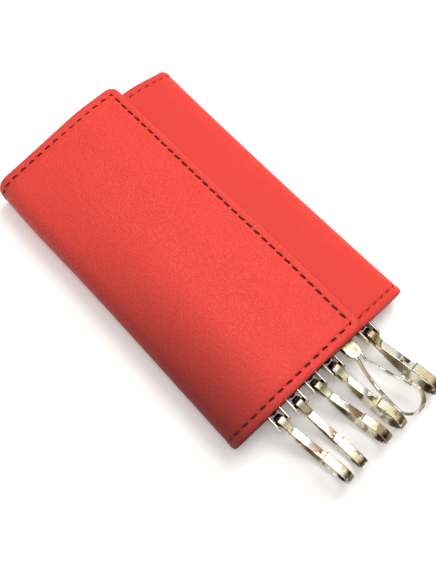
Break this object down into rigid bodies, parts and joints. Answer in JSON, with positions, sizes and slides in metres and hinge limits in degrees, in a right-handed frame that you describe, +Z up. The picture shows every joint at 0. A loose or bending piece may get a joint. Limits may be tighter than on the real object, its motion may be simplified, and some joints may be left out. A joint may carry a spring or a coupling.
{
  "type": "key case",
  "caption": "Folded leather key case with two overlapping flaps, a concealed press stud and a row of swivelling, sprung key hooks at one short end.",
  "frame": {"origin": "centre of the flat underside of the back panel", "axes": "+X towards the key hooks, -Y towards the outer flap's fold, +Y towards the inner flap's fold, +Z up through the closed case"},
  "size_m": [0.1304, 0.066, 0.0155],
  "materials": {
    "red_leather": "smooth semi-matt red leather with a fine grain",
    "lining": "thin matt dark lining leather",
    "board": "plain grey-brown stiffening board",
    "nickel": "polished nickel plate, slightly warm",
    "nickel_plate": "nickel-plated sheet steel"
  },
  "bodies": {
    "centre_panel": {"centre_leather": "red_leather", "centre_board": "board", "centre_lining": "lining", "hook_plate": "nickel_plate", "plate_rivets": "nickel_plate", "swivel_rivets": "nickel_plate"},
    "outer_fold": {"outer_fold_leather": "red_leather", "outer_fold_lining": "lining"},
    "outer_flap": {"outer_flap_leather": "red_leather", "outer_flap_board": "board", "outer_flap_lining": "lining", "snap_socket": "nickel_plate", "snap_socket_post": "nickel_plate"},
    "inner_fold": {"inner_fold_leather": "red_leather", "inner_fold_lining": "lining"},
    "inner_flap": {"inner_flap_leather": "red_leather", "inner_flap_board": "board", "inner_flap_lining": "lining", "snap_stud": "nickel_plate", "snap_stud_post": "nickel_plate"},
    "swivel_1": {"bracket_1": "nickel", "pin_1": "nickel"},
    "hook_1": {"loop_1": "nickel"},
    "gate_1": {"gate_1": "nickel"},
    "swivel_2": {"bracket_2": "nickel", "pin_2": "nickel"},
    "hook_2": {"loop_2": "nickel"},
    "gate_2": {"gate_2": "nickel"},
    "swivel_3": {"bracket_3": "nickel", "pin_3": "nickel"},
    "hook_3": {"loop_3": "nickel"},
    "gate_3": {"gate_3": "nickel"},
    "swivel_4": {"bracket_4": "nickel", "pin_4": "nickel"},
    "hook_4": {"loop_4": "nickel"},
    "gate_4": {"gate_4": "nickel"},
    "swivel_5": {"bracket_5": "nickel", "pin_5": "nickel"},
    "hook_5": {"loop_5": "nickel"},
    "gate_5": {"gate_5": "nickel"},
    "swivel_6": {"bracket_6": "nickel", "pin_6": "nickel"},
    "hook_6": {"loop_6": "nickel"},
    "gate_6": {"gate_6": "nickel"}
  },
  "joints": [
    {"name": "outer_fold_hinge", "type": "hinge", "parent": "centre_panel", "child": "outer_fold", "pos_m": [0, -0.03159, 0.00105], "axis": [1, 0, 0], "range_deg": [0, 85.26]},
    {"name": "outer_flap_hinge", "type": "hinge", "parent": "outer_fold", "child": "outer_flap", "pos_m": [0, -0.03227, 0.00921], "axis": [1, 0, 0], "range_deg": [0, 85.26]},
    {"name": "inner_fold_hinge", "type": "hinge", "parent": "centre_panel", "child": "inner_fold", "pos_m": [0, 0.03182, 0.00082], "axis": [-1, 0, 0], "range_deg": [0, 83.9]},
    {"name": "inner_flap_hinge", "type": "hinge", "parent": "inner_fold", "child": "inner_flap", "pos_m": [0, 0.03251, 0.00722], "axis": [-1, 0, 0], "range_deg": [0, 83.9]},
    {"name": "hook_1_swivel", "type": "hinge", "parent": "centre_panel", "child": "swivel_1", "pos_m": [0.05048, -0.01868, 0.00565], "axis": [1, 0, 0], "range_deg": [-20, 20]},
    {"name": "hook_1_tilt", "type": "hinge", "parent": "swivel_1", "child": "hook_1", "pos_m": [0.05488, -0.01868, 0.00565], "axis": [0, 1, 0], "range_deg": [-78, 72]},
    {"name": "gate_1_spring", "type": "hinge", "parent": "hook_1", "child": "gate_1", "pos_m": [0.05488, -0.01868, 0.00565], "axis": [-0.1217, 0.9925, 0.0064], "range_deg": [0, 12], "stiffness_Nm_per_rad": 0.0015},
    {"name": "hook_2_swivel", "type": "hinge", "parent": "centre_panel", "child": "swivel_2", "pos_m": [0.05048, -0.01172, 0.00565], "axis": [1, 0, 0], "range_deg": [-26, 14]},
    {"name": "hook_2_tilt", "type": "hinge", "parent": "swivel_2", "child": "hook_2", "pos_m": [0.05488, -0.01172, 0.00565], "axis": [0, 0.9945, 0.1045], "range_deg": [-78, 72]},
    {"name": "gate_2_spring", "type": "hinge", "parent": "hook_2", "child": "gate_2", "pos_m": [0.05488, -0.01172, 0.00565], "axis": [-0.0523, 0.9929, 0.1071], "range_deg": [0, 12], "stiffness_Nm_per_rad": 0.0015},
    {"name": "hook_3_swivel", "type": "hinge", "parent": "centre_panel", "child": "swivel_3", "pos_m": [0.05048, -0.00477, 0.00565], "axis": [1, 0, 0], "range_deg": [-20, 20]},
    {"name": "hook_3_tilt", "type": "hinge", "parent": "swivel_3", "child": "hook_3", "pos_m": [0.05488, -0.00477, 0.00565], "axis": [0, 1, 0], "range_deg": [-78, 72]},
    {"name": "gate_3_spring", "type": "hinge", "parent": "hook_3", "child": "gate_3", "pos_m": [0.05488, -0.00477, 0.00565], "axis": [-0.1648, 0.9863, 0.0086], "range_deg": [0, 12], "stiffness_Nm_per_rad": 0.0015},
    {"name": "hook_4_swivel", "type": "hinge", "parent": "centre_panel", "child": "swivel_4", "pos_m": [0.05048, 0.00217, 0.00565], "axis": [1, 0, 0], "range_deg": [-20, 20]},
    {"name": "hook_4_tilt", "type": "hinge", "parent": "swivel_4", "child": "hook_4", "pos_m": [0.05488, 0.00217, 0.00565], "axis": [0, 1, 0], "range_deg": [-78, 72]},
    {"name": "gate_4_spring", "type": "hinge", "parent": "hook_4", "child": "gate_4", "pos_m": [0.05488, 0.00217, 0.00565], "axis": [-0.1044, 0.9945, 0.0055], "range_deg": [0, 12], "stiffness_Nm_per_rad": 0.0015},
    {"name": "hook_5_swivel", "type": "hinge", "parent": "centre_panel", "child": "swivel_5", "pos_m": [0.05048, 0.00912, 0.00565], "axis": [1, 0, 0], "range_deg": [0, 104]},
    {"name": "hook_5_tilt", "type": "hinge", "parent": "swivel_5", "child": "hook_5", "pos_m": [0.05488, 0.00912, 0.00565], "axis": [0, 0.1045, -0.9945], "range_deg": [-5, 2]},
    {"name": "gate_5_spring", "type": "hinge", "parent": "hook_5", "child": "gate_5", "pos_m": [0.05488, 0.00912, 0.00565], "axis": [0, 0.1045, -0.9945], "range_deg": [0, 12], "stiffness_Nm_per_rad": 0.0015},
    {"name": "hook_6_swivel", "type": "hinge", "parent": "centre_panel", "child": "swivel_6", "pos_m": [0.05048, 0.01607, 0.00565], "axis": [1, 0, 0], "range_deg": [-20, 20]},
    {"name": "hook_6_tilt", "type": "hinge", "parent": "swivel_6", "child": "hook_6", "pos_m": [0.05488, 0.01607, 0.00565], "axis": [0, 1, 0], "range_deg": [-78, 72]},
    {"name": "gate_6_spring", "type": "hinge", "parent": "hook_6", "child": "gate_6", "pos_m": [0.05488, 0.01607, 0.00565], "axis": [-0.1044, 0.9945, 0.0055], "range_deg": [0, 12], "stiffness_Nm_per_rad": 0.0015}
  ],
  "couplings": [
    {"joint": "outer_flap_hinge", "follows": "outer_fold_hinge", "ratio": 1},
    {"joint": "inner_fold_hinge", "follows": "outer_fold_hinge", "ratio": 0.98408},
    {"joint": "inner_flap_hinge", "follows": "outer_fold_hinge", "ratio": 0.98408}
  ]
}
